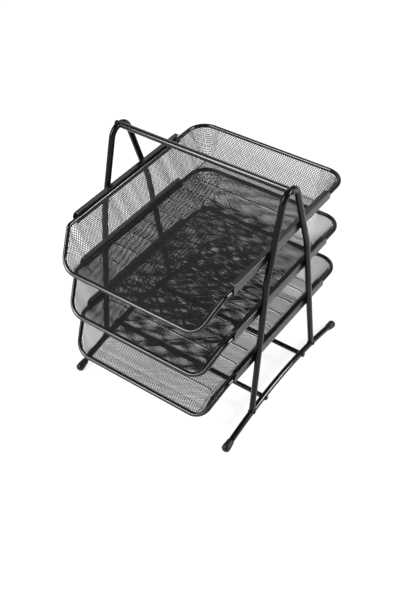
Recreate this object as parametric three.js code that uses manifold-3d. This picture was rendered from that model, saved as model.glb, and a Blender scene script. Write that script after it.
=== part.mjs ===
// A desk stand with three sliding letter trays. Two bent tubes stand as A frames on arched foot
// rails, and each pair of runners between them carries a mesh tray that slides out to the front.
// Millimetres, +Z up, +X to the right, -Y to the front. The origin is on the desk, under the middle.
import * as THREE from 'three';
import { mergeVertices } from 'three/addons/utils/BufferGeometryUtils.js';
import Module from 'manifold-3d';

const wasm = await Module();
wasm.setup();

// Clearances
const seatGap = 0.3; // between a piece and the one that it is welded to or rests on
const rimSideClearance = 0.5; // between a tray rim and the web of its runner
const boreClearance = 0.3; // round a screw or in the mouth of a rubber foot

// Stand
const frameWidth = 292; // between the middles of the two A frames
const tubeDiameter = 9.5;
const tubeWall = 1;
const apexHeight = 390; // middle of the tube at the top
const apexBendRadius = 20;
const shoulderDrop = 125; // from the top down to the corner where a leg leans in more
const shoulderInset = 35; // how far that corner lies inside the foot of the leg
const shoulderBendRadius = 80;
const legSpread = 88; // from the middle of the stand to a leg, where it meets the foot rail
const railLength = 317;
const railEndHeight = 6.3; // middle of the tube at its ends
const railRise = 22; // how much the arch lifts the middle of the rail
const crossBarDiameter = 8;
const crossBarSpread = 55; // from the middle of the stand to a cross bar
const handleDiameter = 9.5;

// Rubber feet
const footDiameter = 13.6; // of the bulb
const footDepth = 14; // how far a rail reaches into its foot
const footEnd = 5.4; // rubber beyond the rail's end
const footLip = 0.7; // rubber round the tube at the mouth
const footRound = 3; // roundness of the bulb's end

// Screws
const shankDiameter = 4;
const shankReach = 9; // thread inside the bar that the screw holds
const headDiameter = 8.6;
const headHeight = 2.6;
const headEdge = 0.8; // straight edge under the dome of the head

// Runners
const runnerLength = 250;
const runnerHeight = 15;
const runnerFlange = 8.5;
const runnerSheet = 1;
const runnerEndCut = 5; // corner cut off the web and the upper flange at each end
const tierPitch = 87;
const topTierHeight = 299; // middle of the top tray's rim

// Trays
const rimDiameter = 6.5;
const trayLength = 362; // between the middles of the front and rear rims
const rearBendRadius = 30;
const frontBendRadius = 28;
const dipBendRadius = 12; // where the side rim turns down to the front
const dipStart = 41; // from the front rim back to the bend in the side rim
const dipDepth = 45; // from the side rim down to the front rim
const frontNarrowing = 18; // how much the dip brings each side rim in
const meshSheet = 1.2;
const basketDepth = 46; // from the rim's middle to the middle of the floor's sheet
const sideSlope = 26.5; // how far a side wall leans in over the basket's depth
const rearSlope = 18;
const frontLean = 1; // the same for the low front wall
const floorBend = 6; // roundness between walls and floor
const floorRadius = 12; // corners of the floor, seen from above
const floorLap = 3.5; // lip of the walls that the floor sheet runs into
const floorStep = 0.1;
const firstRib = 131.5; // from the middle of the tray to its rearmost rib
const ribPitch = 32.3;
const ribCount = 9;
const ribWidth = 4;
const ribHeight = 1.6;
const meshColumns = 6; // openings across the floor
const strandWidth = 3.5; // of sheet left between two openings

// Faceting
const tubeSides = 12;
const boreSides = 8;
const rimSides = 8;
const bendSteps = 5; // in a right angle
const railSteps = 10;
const rearSteps = 5;
const dipSteps = 2;
const frontSteps = 4;
const footSteps = 2; // round the end of a foot, and again along its swell
const domeSteps = 3;
const foldSteps = 2;

const cutPast = 1; // how far a cut runs past what it cuts

const tubeRadius = tubeDiameter / 2;
const rimRadius = rimDiameter / 2;
const framePlane = frameWidth / 2;

const blackPaint = { color: 0x17181a, roughness: 0.42, metalness: 0.35 };
const rubber = { color: 0x0d0d0e, roughness: 0.85, metalness: 0 };
const zinc = { color: 0x2a2b2d, roughness: 0.35, metalness: 0.7 };

const group = new THREE.Group();

function add(name, geometry, look) {
  const mesh = new THREE.Mesh(geometry, new THREE.MeshStandardMaterial(look));
  mesh.name = name;
  group.add(mesh);
  return mesh;
}

// Solids: a closed geometry to a manifold-3d solid, and back
function toSolid(geometry) {
  const bare = geometry.clone();
  bare.deleteAttribute('normal');
  bare.deleteAttribute('uv');
  const merged = mergeVertices(bare, 1e-4);
  return new wasm.Manifold(new wasm.Mesh({
    numProp: 3,
    vertProperties: new Float32Array(merged.attributes.position.array),
    triVerts: new Uint32Array(merged.index.array),
  }));
}

function toGeometry(solid) {
  const mesh = solid.getMesh();
  const geometry = new THREE.BufferGeometry();
  const positions = new Float32Array(mesh.numVert * 3);
  for (let i = 0; i < mesh.numVert; i++) {
    for (let k = 0; k < 3; k++) positions[3 * i + k] = mesh.vertProperties[mesh.numProp * i + k];
  }
  geometry.setAttribute('position', new THREE.BufferAttribute(positions, 3));
  geometry.setIndex([...mesh.triVerts]);
  geometry.computeVertexNormals();
  return geometry;
}

// A bent path: corner points joined by straights, each corner rounded by its own radius
function bentPath(corners, closed) {
  const points = [];
  corners.forEach(({ at, radius, steps }, i) => {
    const isEnd = !closed && (i === 0 || i === corners.length - 1);
    if (isEnd || !radius) {
      points.push(at.clone());
      return;
    }
    const before = corners[(i + corners.length - 1) % corners.length].at;
    const after = corners[(i + 1) % corners.length].at;
    const back = before.clone().sub(at).normalize();
    const ahead = after.clone().sub(at).normalize();
    const half = back.angleTo(ahead) / 2;
    const centre = back.clone().add(ahead).normalize().multiplyScalar(radius / Math.sin(half)).add(at);
    const tangent = radius / Math.tan(half);
    const first = back.multiplyScalar(tangent).add(at).sub(centre);
    const axis = first.clone().cross(ahead.multiplyScalar(tangent).add(at).sub(centre)).normalize();
    const turn = Math.PI - 2 * half;
    const count = steps ?? Math.max(1, Math.round((bendSteps * turn) / (Math.PI / 2)));
    for (let s = 0; s <= count; s++) {
      points.push(first.clone().applyAxisAngle(axis, (turn * s) / count).add(centre));
    }
  });
  return points;
}

function tangents(points, closed) {
  const last = points.length - 1;
  return points.map((point, i) => {
    const before = i > 0 ? points[i - 1] : closed ? points[last] : null;
    const after = i < last ? points[i + 1] : closed ? points[0] : null;
    const ahead = after ? after.clone().sub(point).normalize() : new THREE.Vector3();
    const behind = before ? point.clone().sub(before).normalize() : new THREE.Vector3();
    return ahead.add(behind).normalize();
  });
}

// A closed surface from rings of points. Rings that don't close on themselves get flat caps.
function skin(rings, closed) {
  const sides = rings[0].length;
  const positions = rings.flat().flatMap((p) => [p.x, p.y, p.z]);
  const index = [];
  const spans = closed ? rings.length : rings.length - 1;
  for (let r = 0; r < spans; r++) {
    const here = r * sides;
    const next = ((r + 1) % rings.length) * sides;
    for (let s = 0; s < sides; s++) {
      const t = (s + 1) % sides;
      index.push(here + s, here + t, next + t, here + s, next + t, next + s);
    }
  }
  if (!closed) {
    const lastRing = (rings.length - 1) * sides;
    for (let s = 1; s < sides - 1; s++) {
      index.push(0, s + 1, s, lastRing, lastRing + s, lastRing + s + 1);
    }
  }
  const geometry = new THREE.BufferGeometry();
  geometry.setAttribute('position', new THREE.BufferAttribute(new Float32Array(positions), 3));
  geometry.setIndex(index);
  geometry.computeVertexNormals();
  return geometry;
}

// A round bar along a path. The reference is a direction that the path never runs along.
function bar(points, radius, sides, reference, closed = false) {
  const directions = tangents(points, closed);
  const rings = points.map((point, i) => {
    const across = reference.clone().cross(directions[i]).normalize();
    const over = directions[i].clone().cross(across);
    return Array.from({ length: sides }, (_, s) => {
      const angle = (2 * Math.PI * s) / sides;
      return point.clone()
        .addScaledVector(across, radius * Math.cos(angle))
        .addScaledVector(over, radius * Math.sin(angle));
    });
  });
  return skin(rings, closed);
}

function tube(points, radius, wall, reference) {
  const outer = toSolid(bar(points, radius, tubeSides, reference));
  const directions = tangents(points, false);
  const past = (i, step) => points[i].clone().addScaledVector(directions[i], step);
  const inside = [past(0, -cutPast), ...points.slice(1, -1), past(points.length - 1, cutPast)];
  return outer.subtract(toSolid(bar(inside, radius - wall, boreSides, reference)));
}

const acrossStand = new THREE.Vector3(1, 0, 0);
const upward = new THREE.Vector3(0, 0, 1);

function barAcross(from, to, radius, sides) {
  return toSolid(bar([from, to], radius, sides, upward));
}

// A prism along one axis, from start to start + length, of an outline drawn in the plane across it.
// The outline's points are [y, z] for a prism along X, [x, z] along Y and [x, y] along Z.
function prism(outline, axis, start, length) {
  const shape = new THREE.Shape(outline.map(([a, b]) => new THREE.Vector2(a, b)));
  const geometry = new THREE.ExtrudeGeometry(shape, { depth: length, bevelEnabled: false });
  geometry.translate(0, 0, axis === 'y' ? -start - length : start);
  if (axis !== 'z') geometry.rotateX(Math.PI / 2);
  if (axis === 'x') geometry.rotateZ(Math.PI / 2);
  return toSolid(geometry);
}

// Foot rails: shallow arches that stand on their ends
const railHalf = railLength / 2;
const railHeight = (y) => railEndHeight + railRise * (1 - (y / railHalf) ** 2);

function railPath(x) {
  return Array.from({ length: railSteps + 1 }, (_, i) => {
    const y = railLength * (i / railSteps) - railHalf;
    return new THREE.Vector3(x, y, railHeight(y));
  });
}

// A frames: one tube each, from rail to rail over a rounded top. A leg leans in a little up to its
// shoulder and more above it. The upper stretches aim at a point above the top, found by repeated
// steps, so that the bend between them reaches the height of the top.
function framePath(x) {
  const footHeight = railHeight(legSpread);
  const shoulderHeight = apexHeight - shoulderDrop;
  const shoulderSpread = legSpread - shoulderInset;
  let peak = apexHeight;
  for (let i = 0; i < 40; i++) {
    const lean = Math.atan(shoulderSpread / (peak - shoulderHeight));
    peak = apexHeight + apexBendRadius * (1 / Math.sin(lean) - 1);
  }
  const corner = (y, z, radius) => ({ at: new THREE.Vector3(x, y, z), radius });
  return bentPath([
    corner(-legSpread, footHeight),
    corner(-shoulderSpread, shoulderHeight, shoulderBendRadius),
    corner(0, peak, apexBendRadius),
    corner(shoulderSpread, shoulderHeight, shoulderBendRadius),
    corner(legSpread, footHeight),
  ], false);
}

const sides = [['left', -1], ['right', 1]];
const ends = [['front', -1], ['rear', 1]];

function screwHole(y, z, x, outward) {
  const reach = tubeDiameter + shankReach;
  const from = new THREE.Vector3(x + outward * reach, y, z);
  const to = new THREE.Vector3(x - outward * reach, y, z);
  return barAcross(from, to, shankDiameter / 2 + boreClearance, rimSides);
}

for (const [side, outward] of sides) {
  const x = outward * framePlane;
  const rail = railPath(x);
  let railSolid = tube(rail, tubeRadius, tubeWall, acrossStand);
  for (const [, toward] of ends) {
    const y = toward * crossBarSpread;
    railSolid = railSolid.subtract(screwHole(y, railHeight(y), x, outward));
  }
  add(`foot_rail_${side}`, toGeometry(railSolid), blackPaint);

  // The legs are coped round the rail, a weld's gap away
  const railAndGap = toSolid(bar(rail, tubeRadius + seatGap, tubeSides, acrossStand));
  const frame = tube(framePath(x), tubeRadius, tubeWall, acrossStand)
    .subtract(railAndGap)
    .subtract(screwHole(0, apexHeight, x, outward));
  add(`a_frame_${side}`, toGeometry(frame), blackPaint);
}

// Rubber feet: blind boots on the rails' ends that swell from a thin mouth to a bulb, cut flat
// where they stand on the desk. The profile is [radius, place along the rail] from the inside out.
function footProfile() {
  const bulb = footDiameter / 2;
  const bore = tubeRadius + boreClearance;
  const mouth = bore + footLip;
  const widest = footEnd - footRound;
  const profile = [[0, seatGap], [bore, seatGap], [bore, -footDepth]];
  for (let i = 0; i <= footSteps; i++) {
    const share = i / footSteps;
    const swell = (1 - Math.cos(Math.PI * share)) / 2;
    profile.push([mouth + (bulb - mouth) * swell, (widest + footDepth) * share - footDepth]);
  }
  for (let i = 1; i <= footSteps; i++) {
    const angle = (Math.PI / 2) * (i / footSteps);
    profile.push([bulb - footRound * (1 - Math.cos(angle)), widest + footRound * Math.sin(angle)]);
  }
  profile.push([0, footEnd]);
  return profile.map(([radius, place]) => new THREE.Vector2(radius, place));
}

const lastOfRail = railPath(0).slice(-2);
const railEndTilt = Math.atan((lastOfRail[0].z - lastOfRail[1].z) / (lastOfRail[1].y - lastOfRail[0].y));
for (const [side, outward] of sides) {
  for (const [end, toward] of ends) {
    const cap = new THREE.LatheGeometry(footProfile(), tubeSides);
    cap.rotateX(-railEndTilt);
    if (toward < 0) cap.rotateZ(Math.PI);
    cap.translate(outward * framePlane, toward * railHalf, railEndHeight);
    const desk = new THREE.BoxGeometry(2 * footDiameter, 4 * footDepth, footDiameter);
    desk.translate(outward * framePlane, toward * railHalf, -footDiameter / 2);
    const solid = toSolid(cap).subtract(toSolid(desk));
    add(`foot_cap_${end}_${side}`, toGeometry(solid), rubber);
  }
}

// Bars across the stand, coped to the tubes at both ends and drilled for their screws
function crossPiece(y, z, diameter, tubePaths) {
  const from = new THREE.Vector3(-framePlane, y, z);
  const to = new THREE.Vector3(framePlane, y, z);
  let solid = barAcross(from, to, diameter / 2, tubeSides);
  for (const path of tubePaths) {
    solid = solid.subtract(toSolid(bar(path, tubeRadius + seatGap, tubeSides, acrossStand)));
  }
  for (const [, outward] of sides) solid = solid.subtract(screwHole(y, z, outward * framePlane, outward));
  return toGeometry(solid);
}

const rails = [railPath(-framePlane), railPath(framePlane)];
const frames = [framePath(-framePlane), framePath(framePlane)];
add('handle_bar', crossPiece(0, apexHeight, handleDiameter, frames), blackPaint);
for (const [end, toward] of ends) {
  const y = toward * crossBarSpread;
  add(`cross_bar_${end}`, crossPiece(y, railHeight(y), crossBarDiameter, rails), blackPaint);
}

// Button-head screws, from the outside of the stand through the tubes into the bars
function screw() {
  const head = headDiameter / 2;
  const shank = shankDiameter / 2;
  const length = tubeDiameter + shankReach - seatGap;
  const profile = [[0, -length], [shank, -length], [shank, 0], [head, 0]];
  for (let i = 0; i < domeSteps; i++) {
    const angle = (Math.PI / 2) * (i / domeSteps);
    profile.push([head * Math.cos(angle), headEdge + (headHeight - headEdge) * Math.sin(angle)]);
  }
  profile.push([0, headHeight]);
  return new THREE.LatheGeometry(profile.map(([radius, place]) => new THREE.Vector2(radius, place)), rimSides);
}

const screwPlaces = [['handle', 0, apexHeight]];
for (const [end, toward] of ends) {
  const y = toward * crossBarSpread;
  screwPlaces.push([`bar_${end}`, y, railHeight(y)]);
}
for (const [side, outward] of sides) {
  for (const [place, y, z] of screwPlaces) {
    const geometry = mergeVertices(screw(), 1e-4);
    geometry.rotateZ(-outward * Math.PI / 2);
    const mesh = add(`screw_${place}_${side}`, geometry, zinc);
    mesh.position.set(outward * (framePlane + tubeRadius + seatGap), y, z);
  }
}

// Runners: channels that open inward, welded to the inner side of the legs
const runnerOuter = framePlane - tubeRadius - seatGap;
const rimSide = runnerOuter - runnerSheet - rimSideClearance - rimRadius; // side rim from the middle
const runnerBase = -rimRadius - seatGap - runnerSheet; // underside, measured from the rim's middle

function runnerShape() {
  const tip = runnerOuter - runnerFlange;
  const web = runnerOuter - runnerSheet;
  const top = runnerBase + runnerHeight;
  const shape = new THREE.Shape();
  shape.moveTo(tip, runnerBase);
  shape.lineTo(runnerOuter - runnerSheet, runnerBase);
  shape.absarc(runnerOuter - runnerSheet, runnerBase + runnerSheet, runnerSheet, -Math.PI / 2, 0, false);
  shape.lineTo(runnerOuter, top - runnerSheet);
  shape.absarc(runnerOuter - runnerSheet, top - runnerSheet, runnerSheet, 0, Math.PI / 2, false);
  shape.lineTo(tip, top);
  shape.lineTo(tip, top - runnerSheet);
  shape.lineTo(web, top - runnerSheet);
  shape.lineTo(web, runnerBase + runnerSheet);
  shape.lineTo(tip, runnerBase + runnerSheet);
  shape.closePath();
  return shape;
}

const tiers = [['top', 0], ['middle', 1], ['bottom', 2]];
const tierHeight = (order) => topTierHeight - tierPitch * order;

function runnerGeometry() {
  const channel = new THREE.ExtrudeGeometry(runnerShape(), {
    depth: runnerLength, bevelEnabled: false, curveSegments: foldSteps,
  });
  channel.rotateX(Math.PI / 2);
  channel.translate(0, runnerLength / 2, 0);
  let solid = toSolid(channel);
  const top = runnerBase + runnerHeight;
  const tip = runnerOuter - runnerFlange;
  for (const [, toward] of ends) {
    const end = toward * runnerLength / 2;
    const inner = end - toward * (runnerEndCut + cutPast);
    const outer = end + toward * cutPast;
    const corner = [[outer, top - runnerEndCut - cutPast], [outer, top + cutPast], [inner, top + cutPast]];
    solid = solid.subtract(prism(corner, 'x', tip - cutPast, runnerFlange + 2 * cutPast));
  }
  return toGeometry(solid);
}

const runner = runnerGeometry();
for (const [tier, order] of tiers) {
  for (const [side, outward] of sides) {
    const geometry = outward > 0 ? runner : runner.clone().rotateZ(Math.PI);
    const mesh = add(`runner_${tier}_${side}`, geometry, blackPaint);
    mesh.position.z = tierHeight(order);
  }
}

// Tray rim: one closed wire loop, level at the sides and rear, dipping to a low front
const front = -trayLength / 2;
const rear = trayLength / 2;
const frontSide = rimSide - frontNarrowing;
const rimPath = bentPath([
  { at: new THREE.Vector3(rimSide, rear, 0), radius: rearBendRadius, steps: rearSteps },
  { at: new THREE.Vector3(-rimSide, rear, 0), radius: rearBendRadius, steps: rearSteps },
  { at: new THREE.Vector3(-rimSide, front + dipStart, 0), radius: dipBendRadius, steps: dipSteps },
  { at: new THREE.Vector3(-frontSide, front, -dipDepth), radius: frontBendRadius, steps: frontSteps },
  { at: new THREE.Vector3(frontSide, front, -dipDepth), radius: frontBendRadius, steps: frontSteps },
  { at: new THREE.Vector3(rimSide, front + dipStart, 0), radius: dipBendRadius, steps: dipSteps },
], true);

// Basket: sheet walls from the rim's inner side to a floor with pressed ribs. The floor's outline
// has a point for each point of the rim's path, and each wall section joins one such pair.
const floorBottom = -meshSheet / 2 - basketDepth;
const inset = rimRadius + seatGap;
const floorSide = rimSide - inset - sideSlope;
const floorFrontSide = frontSide - inset - frontLean;
const floorFront = front + inset + frontLean;
const floorPath = bentPath([
  { at: new THREE.Vector3(floorSide, rear - inset - rearSlope, 0), radius: floorRadius, steps: rearSteps },
  { at: new THREE.Vector3(-floorSide, rear - inset - rearSlope, 0), radius: floorRadius, steps: rearSteps },
  { at: new THREE.Vector3(-floorSide, front + dipStart, 0), radius: floorRadius, steps: dipSteps },
  { at: new THREE.Vector3(-floorFrontSide, floorFront, 0), radius: floorRadius, steps: frontSteps },
  { at: new THREE.Vector3(floorFrontSide, floorFront, 0), radius: floorRadius, steps: frontSteps },
  { at: new THREE.Vector3(floorSide, front + dipStart, 0), radius: floorRadius, steps: dipSteps },
], true);

// One wall section: [distance in, height] pairs, down the outside, along the floor and back up.
// The front wall is so low that its bend takes most of it.
function wallSection(depth, lean) {
  const mostSlope = 0.8;
  const mostBend = 0.8;
  const thick = meshSheet * Math.hypot(1, Math.min(lean / depth, mostSlope));
  const bend = Math.min(floorBend, (depth - meshSheet) * mostBend) / 2;
  const bent = (reach, height) => [[reach - (lean / depth) * bend, height + bend], [reach + bend, height]];
  const innerReach = lean + thick - (lean / depth) * meshSheet;
  return [
    [0, depth],
    ...bent(lean, 0),
    [lean + bend + floorLap, 0],
    [lean + bend + floorLap, meshSheet],
    ...bent(innerReach, meshSheet).reverse(),
    [thick, depth],
  ];
}

function basketGeometry() {
  const along = tangents(rimPath, true);
  const floorOutline = [];
  const rings = rimPath.map((point, i) => {
    const inward = new THREE.Vector3(-along[i].y, along[i].x, 0).normalize();
    const top = point.clone().addScaledVector(inward, inset);
    const across = new THREE.Vector3(floorPath[i].x - top.x, floorPath[i].y - top.y, 0);
    const lean = across.length();
    across.normalize();
    const section = wallSection(top.z - floorBottom, lean);
    const place = (reach, height) => new THREE.Vector3(
      top.x + across.x * reach, top.y + across.y * reach, floorBottom + height,
    );
    floorOutline.push(place(section[3][0] - floorLap / 2, 0));
    return section.map(([reach, height]) => place(reach, height));
  });
  const walls = toSolid(skin(rings, true));

  // Floor sheet, a little thinner than the lip of the walls that it laps into
  const under = floorBottom + floorStep;
  const over = floorBottom + meshSheet - floorStep;
  const ribs = Array.from({ length: ribCount }, (_, i) => firstRib - ribPitch * (ribCount - 1 - i));
  const line = (z) => [
    [front, z],
    ...ribs.flatMap((y) => [[y - ribWidth / 2, z], [y, z + ribHeight], [y + ribWidth / 2, z]]),
    [rear, z],
  ];
  const slab = prism([...line(under), ...line(over).reverse()], 'x', -rimSide, 2 * rimSide);
  const trim = prism(floorOutline.map((p) => [p.x, p.y]), 'z', under - cutPast, basketDepth);
  let basket = walls.add(slab.intersect(trim));

  // Openings of the expanded sheet, fewer and larger than the real ones: a row of diamonds in front
  // of every rib, and a row round the walls
  const diamond = (a, b, width, height) => [
    [a - width / 2, b], [a, b - height / 2], [a + width / 2, b], [a, b + height / 2],
  ];
  const flatSide = floorSide - floorBend / 2 - floorLap;
  const columnPitch = (2 * flatSide) / meshColumns;
  const columns = Array.from({ length: meshColumns }, (_, i) => columnPitch * (i - (meshColumns - 1) / 2));
  const rows = ribs.map((y) => y - ribPitch / 2);
  const openWidth = columnPitch - strandWidth;
  for (const x of columns) {
    for (const y of rows) {
      const opening = diamond(x, y, openWidth, ribPitch - ribWidth - strandWidth);
      basket = basket.subtract(prism(opening, 'z', under - cutPast, meshSheet + 2 * cutPast));
    }
  }
  const openTop = -rimRadius - strandWidth;
  const openBottom = over + floorBend;
  const openMiddle = (openTop + openBottom) / 2;
  for (const y of rows.filter((place) => place > front + dipStart + ribPitch / 2)) {
    const opening = diamond(y, openMiddle, ribPitch - strandWidth, openTop - openBottom);
    basket = basket.subtract(prism(opening, 'x', -rimSide, 2 * rimSide));
  }
  for (const x of columns) {
    const opening = diamond(x, openMiddle, openWidth, openTop - openBottom);
    basket = basket.subtract(prism(opening, 'y', 0, rear));
  }
  return toGeometry(basket);
}

const rimGeometry = bar(rimPath, rimRadius, rimSides, upward, true);
const basket = basketGeometry();
for (const [tier, order] of tiers) {
  const rimMesh = add(`${tier}_tray_rim`, rimGeometry, blackPaint);
  const basketMesh = add(`${tier}_tray_basket`, basket, blackPaint);
  rimMesh.position.z = tierHeight(order);
  basketMesh.position.z = tierHeight(order);
}

export default group;
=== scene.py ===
# %% [markdown]
# # A desk stand with three mesh letter trays
#
# The real object is all black powder-coated steel. Two tubes are bent into A frames and welded to
# arched foot rails, flat-sided runners are welded between the legs, and three trays of expanded
# metal slide in them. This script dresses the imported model. Each steel piece is made again with
# the fine roundness that a camera sees, and the sheet baskets become real mesh.

# %% Open the frame
import math

import bpy
import numpy as np
from mathutils import Matrix, Vector


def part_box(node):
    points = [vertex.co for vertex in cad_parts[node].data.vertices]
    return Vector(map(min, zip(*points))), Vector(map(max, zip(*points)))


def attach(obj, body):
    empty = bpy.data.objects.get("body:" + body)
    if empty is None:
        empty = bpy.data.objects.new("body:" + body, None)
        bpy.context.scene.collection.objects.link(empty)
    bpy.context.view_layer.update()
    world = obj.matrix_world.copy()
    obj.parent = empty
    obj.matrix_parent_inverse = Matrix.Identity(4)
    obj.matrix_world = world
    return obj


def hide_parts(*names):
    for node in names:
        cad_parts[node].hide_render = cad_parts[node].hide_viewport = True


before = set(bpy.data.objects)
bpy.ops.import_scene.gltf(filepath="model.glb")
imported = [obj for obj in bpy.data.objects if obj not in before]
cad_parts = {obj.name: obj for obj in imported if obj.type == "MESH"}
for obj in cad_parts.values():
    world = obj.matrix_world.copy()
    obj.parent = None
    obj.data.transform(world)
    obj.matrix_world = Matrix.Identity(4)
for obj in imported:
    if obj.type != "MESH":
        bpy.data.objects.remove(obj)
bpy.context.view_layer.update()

# %% [markdown]
# ## Sizes
#
# The pieces have to lie where the model says, so the sizes of the stand and the trays come first.
# Lengths that the model's boxes show are read from them, and the bends and clearances that a box
# doesn't show are written in millimetres. MM turns them into Blender's metres.

# %% Sizes of the stand and the trays
MM = 0.001
SIDES = {"left": -1, "right": 1}
ENDS = {"front": -1, "rear": 1}
TIERS = ("top", "middle", "bottom")

frame_low, frame_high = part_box("a_frame_right")
bar_low, bar_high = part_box("cross_bar_front")
TUBE_RADIUS = (frame_high.x - frame_low.x) / 2
FRAME_PLANE = (frame_high.x + frame_low.x) / 2
APEX_HEIGHT = frame_high.z - TUBE_RADIUS
APEX_BEND = 20 * MM
SHOULDER_DROP = 125 * MM
SHOULDER_INSET = 35 * MM
SHOULDER_BEND = 80 * MM
LEG_SPREAD = 88 * MM
RAIL_HALF = 158.5 * MM
RAIL_END_HEIGHT = 6.3 * MM
RAIL_RISE = 22 * MM
BAR_RADIUS = (bar_high.z - bar_low.z) / 2
BAR_SPREAD = -(bar_high.y + bar_low.y) / 2
BAR_HEIGHT = (bar_high.z + bar_low.z) / 2
HANDLE_RADIUS = TUBE_RADIUS

rim_low, rim_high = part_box("top_tray_rim")
RIM_RADIUS = 3.25 * MM
RIM_SIDE = rim_high.x - RIM_RADIUS
RIM_REAR = rim_high.y - RIM_RADIUS
RIM_FRONT = rim_low.y + RIM_RADIUS
DIP_START = 41 * MM
KINK = RIM_FRONT + DIP_START
DIP_DEPTH = (rim_high.z - rim_low.z) - 2 * RIM_RADIUS
FRONT_SIDE = RIM_SIDE - 18 * MM
REAR_BEND = 30 * MM
FRONT_BEND = 28 * MM
DIP_BEND = 12 * MM
rim_heights = {tier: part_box(f"{tier}_tray_rim")[1].z - RIM_RADIUS for tier in TIERS}
print("frame plane", FRAME_PLANE, "apex", APEX_HEIGHT, "rims", rim_heights)

# %% [markdown]
# ## Camera
#
# The photograph looks down on the stand from its front right. The camera's place, its tilt and its
# focal length come from fitting the feet, the tops of the frames and the rims of the trays in the
# picture. Its turn, its tilt and its roll are written as angles, so they can be read.

# %% Camera at the photograph's angle
CAMERA_PLACE = Vector((635.08, -838.54, 1123.61)) * MM
CAMERA_TURN = math.radians(37.64)
CAMERA_RISE = math.radians(43.90)
CAMERA_ROLL = math.radians(-2.60)
FOCAL_PIXELS = 913.14
PICTURE_HEIGHT = 601
SENSOR = 36

away = Vector((math.sin(CAMERA_TURN) * math.cos(CAMERA_RISE),
               -math.cos(CAMERA_TURN) * math.cos(CAMERA_RISE),
               math.sin(CAMERA_RISE)))
level = Vector((math.cos(CAMERA_TURN), math.sin(CAMERA_TURN), 0))
upright = away.cross(level)
camera_x = level * math.cos(CAMERA_ROLL) + upright * math.sin(CAMERA_ROLL)
camera_y = upright * math.cos(CAMERA_ROLL) - level * math.sin(CAMERA_ROLL)

camera_data = bpy.data.cameras.new("camera")
camera_data.sensor_width = SENSOR
camera_data.lens = FOCAL_PIXELS * SENSOR / PICTURE_HEIGHT
camera = bpy.data.objects.new("camera", camera_data)
turn = Matrix((camera_x, camera_y, away)).transposed().to_4x4()
camera.matrix_world = Matrix.Translation(CAMERA_PLACE) @ turn
bpy.context.scene.collection.objects.link(camera)
bpy.context.scene.camera = camera
print("lens", round(camera_data.lens, 2), "mm")

# %% [markdown]
# ## Powder coat
#
# Powder coat is a thin black plastic skin that flows out in the oven. It keeps a very fine orange
# peel, so its highlights are soft and a little uneven. A fine noise gives the peel as bump, and a
# wide, weak noise changes the colour and the roughness from place to place. The rims, the bars and
# the foot rails have the paint of the legs with more shine, for the light streaks that they show.
# The mesh is rougher and a little paler, because the coat builds up and dulls on its thin strands.

# %% Materials
CLOUD_SCALE = 35
CLOUD_DETAIL = 3
CLOUD_DARK_PLACE = 0.35
CLOUD_PALE_PLACE = 0.7
PEEL_DETAIL = 2
PEEL_STRENGTH = 0.4
PAINT_DARK = (0.003, 0.003, 0.0032)
PAINT_PALE = (0.006, 0.006, 0.0064)
PAINT_ROUGH = (0.12, 0.2)


def noise(nodes, links, coordinates, scale, detail):
    texture = nodes.new("ShaderNodeTexNoise")
    texture.inputs["Scale"].default_value = scale
    texture.inputs["Detail"].default_value = detail
    links.new(coordinates.outputs["Object"], texture.inputs["Vector"])
    return texture


def finish(name, dark, pale, rough, peel_size, peel_depth, shine, metal=0.0):
    """A procedural finish. dark and pale are the limits of its colour, rough those of its roughness."""
    material = bpy.data.materials.new(name)
    material.use_nodes = True
    nodes, links = material.node_tree.nodes, material.node_tree.links
    shader = nodes["Principled BSDF"]
    shader.inputs["Metallic"].default_value = metal
    shader.inputs["Specular IOR Level"].default_value = shine
    coordinates = nodes.new("ShaderNodeTexCoord")

    clouds = noise(nodes, links, coordinates, CLOUD_SCALE, CLOUD_DETAIL)
    colours = nodes.new("ShaderNodeValToRGB")
    colours.color_ramp.elements[0].position = CLOUD_DARK_PLACE
    colours.color_ramp.elements[0].color = (*dark, 1)
    colours.color_ramp.elements[1].position = CLOUD_PALE_PLACE
    colours.color_ramp.elements[1].color = (*pale, 1)
    links.new(clouds.outputs["Fac"], colours.inputs["Fac"])
    links.new(colours.outputs["Color"], shader.inputs["Base Color"])

    spread = nodes.new("ShaderNodeMapRange")
    spread.inputs["To Min"].default_value = rough[0]
    spread.inputs["To Max"].default_value = rough[1]
    links.new(clouds.outputs["Fac"], spread.inputs["Value"])
    links.new(spread.outputs["Result"], shader.inputs["Roughness"])

    peel = noise(nodes, links, coordinates, 1 / peel_size, PEEL_DETAIL)
    bump = nodes.new("ShaderNodeBump")
    bump.inputs["Strength"].default_value = PEEL_STRENGTH
    bump.inputs["Distance"].default_value = peel_depth
    links.new(peel.outputs["Fac"], bump.inputs["Height"])
    links.new(bump.outputs["Normal"], shader.inputs["Normal"])
    return material


powder_coat = finish("powder_coat", PAINT_DARK, PAINT_PALE, PAINT_ROUGH,
                     peel_size=1.1 * MM, peel_depth=0.02 * MM, shine=0.2)
wire_coat = finish("wire_coat", PAINT_DARK, PAINT_PALE, PAINT_ROUGH,
                   peel_size=1.1 * MM, peel_depth=0.02 * MM, shine=0.5)
sheet_coat = finish("sheet_coat", (0.005, 0.005, 0.0053), (0.009, 0.009, 0.0095), (0.24, 0.32),
                    peel_size=1.3 * MM, peel_depth=0.02 * MM, shine=0.4)
mesh_coat = finish("mesh_coat", (0.011, 0.011, 0.0115), (0.017, 0.017, 0.018), (0.45, 0.55),
                   peel_size=0.8 * MM, peel_depth=0.03 * MM, shine=0.2)
foot_rubber = finish("foot_rubber", (0.006, 0.006, 0.006), (0.011, 0.011, 0.011), (0.36, 0.46),
                     peel_size=0.6 * MM, peel_depth=0.04 * MM, shine=0.35)
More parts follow.
